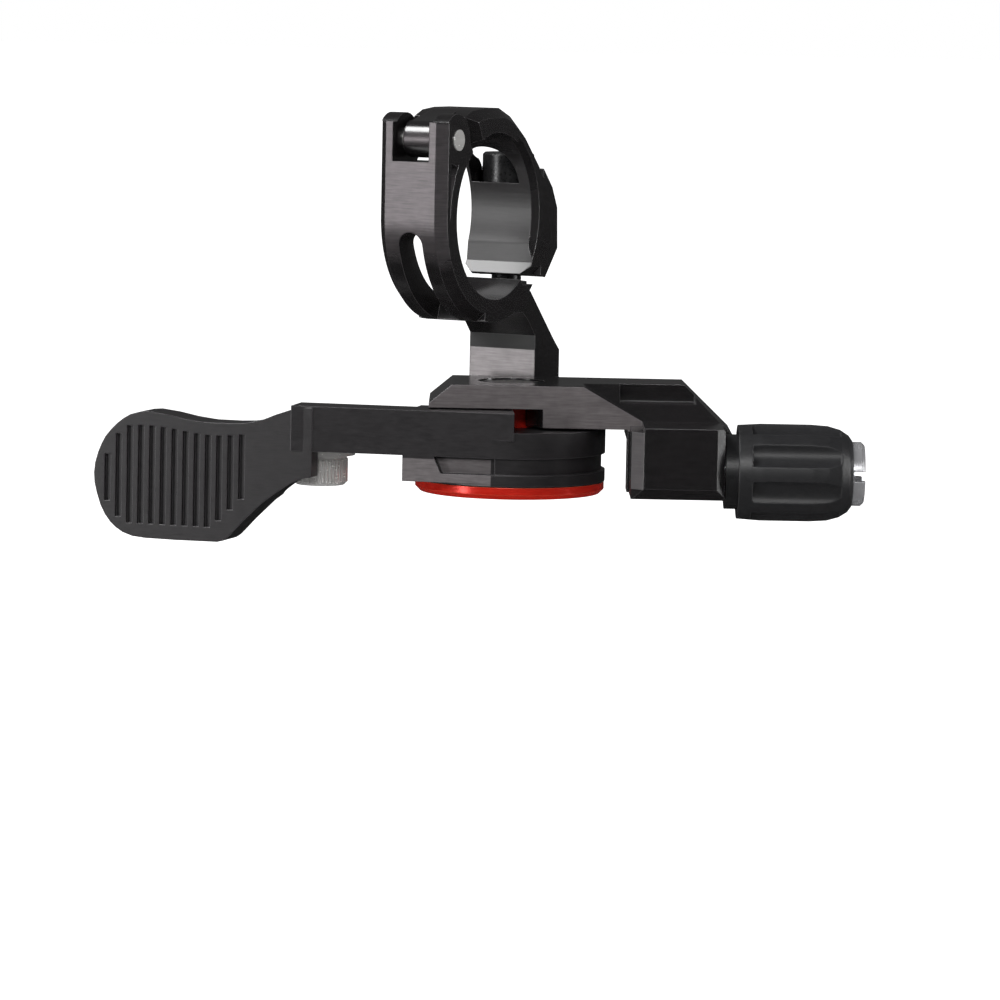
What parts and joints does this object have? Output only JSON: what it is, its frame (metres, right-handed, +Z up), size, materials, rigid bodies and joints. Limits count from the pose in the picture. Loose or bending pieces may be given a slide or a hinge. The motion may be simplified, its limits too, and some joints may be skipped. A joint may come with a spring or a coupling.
{
  "type": "dropper post remote lever",
  "caption": "Handlebar-mounted thumb lever with hinged bar clamp, bearing pivot, cable pinch bolt and barrel adjuster.",
  "frame": {"origin": "centre of the handlebar clamp's bore", "axes": "+Z up along the lever's pivot, +X along the cable towards its housing, +Y forwards, away from the rider's side of the paddle"},
  "size_m": [0.102, 0.0376, 0.0584],
  "materials": {
    "black_anodised": "gloss black anodised",
    "red_anodised": "gloss red anodised",
    "steel_zinc": "bright steel",
    "black_steel": "black oxide",
    "bearing_steel": "ground and polished",
    "cage_nylon": "moulded",
    "seal_rubber": "matt",
    "spring_steel": "drawn wire",
    "silver_aluminium": "silver anodised",
    "cover_plastic": "moulded",
    "collar_plastic": "moulded"
  },
  "bodies": {
    "bracket_body": {"bracket": "black_anodised", "hinge_pin": "steel_zinc", "clamp_bolt": "black_steel", "pivot_axle": "black_steel", "pivot_sleeve": "red_anodised", "bearing_inner_ring": "bearing_steel", "thrust_washer": "black_steel", "pivot_cap": "red_anodised", "pivot_screw": "black_steel", "cap_seal": "seal_rubber", "detent_spring": "spring_steel"},
    "cap_body": {"clamp_cap": "black_anodised"},
    "lever_body": {"lever": "black_anodised", "pinch_bolt": "steel_zinc", "pinch_washer": "steel_zinc", "bearing_outer_ring": "bearing_steel", "bearing_shield_top": "seal_rubber", "bearing_shield_bottom": "seal_rubber", "retaining_ring": "spring_steel"},
    "cage_body": {"bearing_cage": "cage_nylon", "bearing_balls": "bearing_steel"},
    "slide_body": {"detent_collar": "collar_plastic"},
    "adjuster_body": {"adjuster_barrel": "silver_aluminium", "adjuster_cover": "cover_plastic"}
  },
  "joints": [
    {"name": "lever_pivot", "type": "hinge", "parent": "bracket_body", "child": "lever_body", "pos_m": [0.0067, -0.0006, -0.03], "axis": [0, 0, 1], "range_deg": [-42, 22]},
    {"name": "cage_turn", "type": "hinge", "parent": "bracket_body", "child": "cage_body", "pos_m": [0.0067, -0.0006, -0.03], "axis": [0, 0, 1], "range_deg": [-26, 14]},
    {"name": "clamp_hinge", "type": "hinge", "parent": "bracket_body", "child": "cap_body", "pos_m": [-0.00525, -0.00967, 0.0103], "axis": [0.8788, -0.4772, 0], "range_deg": [-1, 0]},
    {"name": "adjuster_travel", "type": "slide", "parent": "bracket_body", "child": "slide_body", "axis": [1, 0, 0], "range_m": [0, 0.0048], "deforming": ["detent_spring"]},
    {"name": "adjuster_turn", "type": "hinge", "parent": "slide_body", "child": "adjuster_body", "pos_m": [0.0429, -0.0127, -0.0324], "axis": [1, 0, 0], "range_deg": [0, 2160]}
  ],
  "couplings": [
    {"joint": "cage_turn", "follows": "lever_pivot", "ratio": 0.61429},
    {"joint": "adjuster_turn", "follows": "adjuster_travel", "rad_per_m": 7854}
  ]
}
